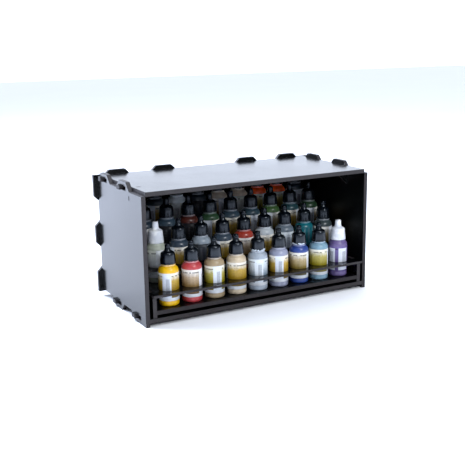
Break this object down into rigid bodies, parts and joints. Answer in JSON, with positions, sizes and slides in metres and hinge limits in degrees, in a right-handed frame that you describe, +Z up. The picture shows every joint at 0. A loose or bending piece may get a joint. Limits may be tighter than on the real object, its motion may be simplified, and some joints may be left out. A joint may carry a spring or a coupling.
{
  "type": "paint rack organizer",
  "caption": "Stackable open-front cabinet of slide-locked boards holding a pull-out stepped stand with rows of dropper paint bottles.",
  "frame": {"origin": "bottom centre of the bounding box, on the surface the cabinet stands on", "axes": "+X to the right along the width, +Y towards the back panel, +Z up; the open front faces -Y"},
  "size_m": [0.3304, 0.161, 0.1676],
  "materials": {
    "black_board": "black, polished faces with darker satin cut edges",
    "paint_bottle_1_1": "semi-gloss squeeze bottle showing its paint",
    "paint_bottle_1_2": "semi-gloss squeeze bottle showing its paint",
    "paint_bottle_1_3": "semi-gloss squeeze bottle showing its paint",
    "paint_bottle_1_4": "semi-gloss squeeze bottle showing its paint",
    "paint_bottle_1_5": "semi-gloss squeeze bottle showing its paint",
    "paint_bottle_1_6": "semi-gloss squeeze bottle showing its paint",
    "paint_bottle_1_7": "semi-gloss squeeze bottle showing its paint",
    "paint_bottle_1_8": "semi-gloss squeeze bottle showing its paint",
    "paint_bottle_1_9": "semi-gloss squeeze bottle showing its paint",
    "paint_bottle_2_1": "semi-gloss squeeze bottle showing its paint",
    "paint_bottle_2_2": "semi-gloss squeeze bottle showing its paint",
    "paint_bottle_2_3": "semi-gloss squeeze bottle showing its paint",
    "paint_bottle_2_4": "semi-gloss squeeze bottle showing its paint",
    "paint_bottle_2_5": "semi-gloss squeeze bottle showing its paint",
    "paint_bottle_2_6": "semi-gloss squeeze bottle showing its paint",
    "paint_bottle_2_7": "semi-gloss squeeze bottle showing its paint",
    "paint_bottle_2_8": "semi-gloss squeeze bottle showing its paint",
    "paint_bottle_2_9": "semi-gloss squeeze bottle showing its paint",
    "paint_bottle_3_1": "semi-gloss squeeze bottle showing its paint",
    "paint_bottle_3_2": "semi-gloss squeeze bottle showing its paint",
    "paint_bottle_3_3": "semi-gloss squeeze bottle showing its paint",
    "paint_bottle_3_4": "semi-gloss squeeze bottle showing its paint",
    "paint_bottle_3_5": "semi-gloss squeeze bottle showing its paint",
    "paint_bottle_3_6": "semi-gloss squeeze bottle showing its paint",
    "paint_bottle_3_7": "semi-gloss squeeze bottle showing its paint",
    "paint_bottle_3_8": "semi-gloss squeeze bottle showing its paint",
    "paint_bottle_3_9": "semi-gloss squeeze bottle showing its paint",
    "paint_bottle_4_1": "semi-gloss squeeze bottle showing its paint",
    "paint_bottle_4_2": "semi-gloss squeeze bottle showing its paint",
    "paint_bottle_4_3": "semi-gloss squeeze bottle showing its paint",
    "paint_bottle_4_4": "semi-gloss squeeze bottle showing its paint",
    "paint_bottle_4_5": "semi-gloss squeeze bottle showing its paint",
    "paint_bottle_4_6": "semi-gloss squeeze bottle showing its paint",
    "paint_bottle_4_7": "semi-gloss squeeze bottle showing its paint",
    "paint_bottle_4_8": "semi-gloss squeeze bottle showing its paint",
    "paint_bottle_4_9": "semi-gloss squeeze bottle showing its paint"
  },
  "bodies": {
    "cabinet": {"left_side_panel": "black_board", "right_side_panel": "black_board", "top_panel": "black_board", "bottom_panel": "black_board", "back_panel": "black_board", "top_left_gusset": "black_board", "top_right_gusset": "black_board"},
    "stand": {"stand_left_side": "black_board", "stand_right_side": "black_board", "stand_front_shelf": "black_board", "stand_hole_plate_1": "black_board", "stand_hole_plate_2": "black_board", "stand_hole_plate_3": "black_board", "stand_hole_plate_4": "black_board"},
    "bottle_1_1": {"paint_bottle_1_1": "paint_bottle_1_1"},
    "bottle_1_2": {"paint_bottle_1_2": "paint_bottle_1_2"},
    "bottle_1_3": {"paint_bottle_1_3": "paint_bottle_1_3"},
    "bottle_1_4": {"paint_bottle_1_4": "paint_bottle_1_4"},
    "bottle_1_5": {"paint_bottle_1_5": "paint_bottle_1_5"},
    "bottle_1_6": {"paint_bottle_1_6": "paint_bottle_1_6"},
    "bottle_1_7": {"paint_bottle_1_7": "paint_bottle_1_7"},
    "bottle_1_8": {"paint_bottle_1_8": "paint_bottle_1_8"},
    "bottle_1_9": {"paint_bottle_1_9": "paint_bottle_1_9"},
    "bottle_2_1": {"paint_bottle_2_1": "paint_bottle_2_1"},
    "bottle_2_2": {"paint_bottle_2_2": "paint_bottle_2_2"},
    "bottle_2_3": {"paint_bottle_2_3": "paint_bottle_2_3"},
    "bottle_2_4": {"paint_bottle_2_4": "paint_bottle_2_4"},
    "bottle_2_5": {"paint_bottle_2_5": "paint_bottle_2_5"},
    "bottle_2_6": {"paint_bottle_2_6": "paint_bottle_2_6"},
    "bottle_2_7": {"paint_bottle_2_7": "paint_bottle_2_7"},
    "bottle_2_8": {"paint_bottle_2_8": "paint_bottle_2_8"},
    "bottle_2_9": {"paint_bottle_2_9": "paint_bottle_2_9"},
    "bottle_3_1": {"paint_bottle_3_1": "paint_bottle_3_1"},
    "bottle_3_2": {"paint_bottle_3_2": "paint_bottle_3_2"},
    "bottle_3_3": {"paint_bottle_3_3": "paint_bottle_3_3"},
    "bottle_3_4": {"paint_bottle_3_4": "paint_bottle_3_4"},
    "bottle_3_5": {"paint_bottle_3_5": "paint_bottle_3_5"},
    "bottle_3_6": {"paint_bottle_3_6": "paint_bottle_3_6"},
    "bottle_3_7": {"paint_bottle_3_7": "paint_bottle_3_7"},
    "bottle_3_8": {"paint_bottle_3_8": "paint_bottle_3_8"},
    "bottle_3_9": {"paint_bottle_3_9": "paint_bottle_3_9"},
    "bottle_4_1": {"paint_bottle_4_1": "paint_bottle_4_1"},
    "bottle_4_2": {"paint_bottle_4_2": "paint_bottle_4_2"},
    "bottle_4_3": {"paint_bottle_4_3": "paint_bottle_4_3"},
    "bottle_4_4": {"paint_bottle_4_4": "paint_bottle_4_4"},
    "bottle_4_5": {"paint_bottle_4_5": "paint_bottle_4_5"},
    "bottle_4_6": {"paint_bottle_4_6": "paint_bottle_4_6"},
    "bottle_4_7": {"paint_bottle_4_7": "paint_bottle_4_7"},
    "bottle_4_8": {"paint_bottle_4_8": "paint_bottle_4_8"},
    "bottle_4_9": {"paint_bottle_4_9": "paint_bottle_4_9"}
  },
  "joints": [
    {"name": "stand_slide", "type": "slide", "parent": "cabinet", "child": "stand", "axis": [0, -1, 0], "range_m": [0, 0.15]},
    {"name": "lift_1_1", "type": "slide", "parent": "stand", "child": "bottle_1_1", "axis": [0, 0, 1], "range_m": [0, 0.062]},
    {"name": "lift_1_2", "type": "slide", "parent": "stand", "child": "bottle_1_2", "axis": [0, 0, 1], "range_m": [0, 0.062]},
    {"name": "lift_1_3", "type": "slide", "parent": "stand", "child": "bottle_1_3", "axis": [0, 0, 1], "range_m": [0, 0.062]},
    {"name": "lift_1_4", "type": "slide", "parent": "stand", "child": "bottle_1_4", "axis": [0, 0, 1], "range_m": [0, 0.062]},
    {"name": "lift_1_5", "type": "slide", "parent": "stand", "child": "bottle_1_5", "axis": [0, 0, 1], "range_m": [0, 0.062]},
    {"name": "lift_1_6", "type": "slide", "parent": "stand", "child": "bottle_1_6", "axis": [0, 0, 1], "range_m": [0, 0.062]},
    {"name": "lift_1_7", "type": "slide", "parent": "stand", "child": "bottle_1_7", "axis": [0, 0, 1], "range_m": [0, 0.062]},
    {"name": "lift_1_8", "type": "slide", "parent": "stand", "child": "bottle_1_8", "axis": [0, 0, 1], "range_m": [0, 0.062]},
    {"name": "lift_1_9", "type": "slide", "parent": "stand", "child": "bottle_1_9", "axis": [0, 0, 1], "range_m": [0, 0.062]},
    {"name": "lift_2_1", "type": "slide", "parent": "stand", "child": "bottle_2_1", "axis": [0, 0, 1], "range_m": [0, 0.042]},
    {"name": "lift_2_2", "type": "slide", "parent": "stand", "child": "bottle_2_2", "axis": [0, 0, 1], "range_m": [0, 0.042]},
    {"name": "lift_2_3", "type": "slide", "parent": "stand", "child": "bottle_2_3", "axis": [0, 0, 1], "range_m": [0, 0.042]},
    {"name": "lift_2_4", "type": "slide", "parent": "stand", "child": "bottle_2_4", "axis": [0, 0, 1], "range_m": [0, 0.042]},
    {"name": "lift_2_5", "type": "slide", "parent": "stand", "child": "bottle_2_5", "axis": [0, 0, 1], "range_m": [0, 0.042]},
    {"name": "lift_2_6", "type": "slide", "parent": "stand", "child": "bottle_2_6", "axis": [0, 0, 1], "range_m": [0, 0.042]},
    {"name": "lift_2_7", "type": "slide", "parent": "stand", "child": "bottle_2_7", "axis": [0, 0, 1], "range_m": [0, 0.042]},
    {"name": "lift_2_8", "type": "slide", "parent": "stand", "child": "bottle_2_8", "axis": [0, 0, 1], "range_m": [0, 0.042]},
    {"name": "lift_2_9", "type": "slide", "parent": "stand", "child": "bottle_2_9", "axis": [0, 0, 1], "range_m": [0, 0.042]},
    {"name": "lift_3_1", "type": "slide", "parent": "stand", "child": "bottle_3_1", "axis": [0, 0, 1], "range_m": [0, 0.022]},
    {"name": "lift_3_2", "type": "slide", "parent": "stand", "child": "bottle_3_2", "axis": [0, 0, 1], "range_m": [0, 0.022]},
    {"name": "lift_3_3", "type": "slide", "parent": "stand", "child": "bottle_3_3", "axis": [0, 0, 1], "range_m": [0, 0.022]},
    {"name": "lift_3_4", "type": "slide", "parent": "stand", "child": "bottle_3_4", "axis": [0, 0, 1], "range_m": [0, 0.022]},
    {"name": "lift_3_5", "type": "slide", "parent": "stand", "child": "bottle_3_5", "axis": [0, 0, 1], "range_m": [0, 0.022]},
    {"name": "lift_3_6", "type": "slide", "parent": "stand", "child": "bottle_3_6", "axis": [0, 0, 1], "range_m": [0, 0.022]},
    {"name": "lift_3_7", "type": "slide", "parent": "stand", "child": "bottle_3_7", "axis": [0, 0, 1], "range_m": [0, 0.022]},
    {"name": "lift_3_8", "type": "slide", "parent": "stand", "child": "bottle_3_8", "axis": [0, 0, 1], "range_m": [0, 0.022]},
    {"name": "lift_3_9", "type": "slide", "parent": "stand", "child": "bottle_3_9", "axis": [0, 0, 1], "range_m": [0, 0.022]},
    {"name": "lift_4_1", "type": "slide", "parent": "stand", "child": "bottle_4_1", "axis": [0, 0, 1], "range_m": [0, 0.002]},
    {"name": "lift_4_2", "type": "slide", "parent": "stand", "child": "bottle_4_2", "axis": [0, 0, 1], "range_m": [0, 0.002]},
    {"name": "lift_4_3", "type": "slide", "parent": "stand", "child": "bottle_4_3", "axis": [0, 0, 1], "range_m": [0, 0.002]},
    {"name": "lift_4_4", "type": "slide", "parent": "stand", "child": "bottle_4_4", "axis": [0, 0, 1], "range_m": [0, 0.002]},
    {"name": "lift_4_5", "type": "slide", "parent": "stand", "child": "bottle_4_5", "axis": [0, 0, 1], "range_m": [0, 0.002]},
    {"name": "lift_4_6", "type": "slide", "parent": "stand", "child": "bottle_4_6", "axis": [0, 0, 1], "range_m": [0, 0.002]},
    {"name": "lift_4_7", "type": "slide", "parent": "stand", "child": "bottle_4_7", "axis": [0, 0, 1], "range_m": [0, 0.002]},
    {"name": "lift_4_8", "type": "slide", "parent": "stand", "child": "bottle_4_8", "axis": [0, 0, 1], "range_m": [0, 0.002]},
    {"name": "lift_4_9", "type": "slide", "parent": "stand", "child": "bottle_4_9", "axis": [0, 0, 1], "range_m": [0, 0.002]}
  ]
}
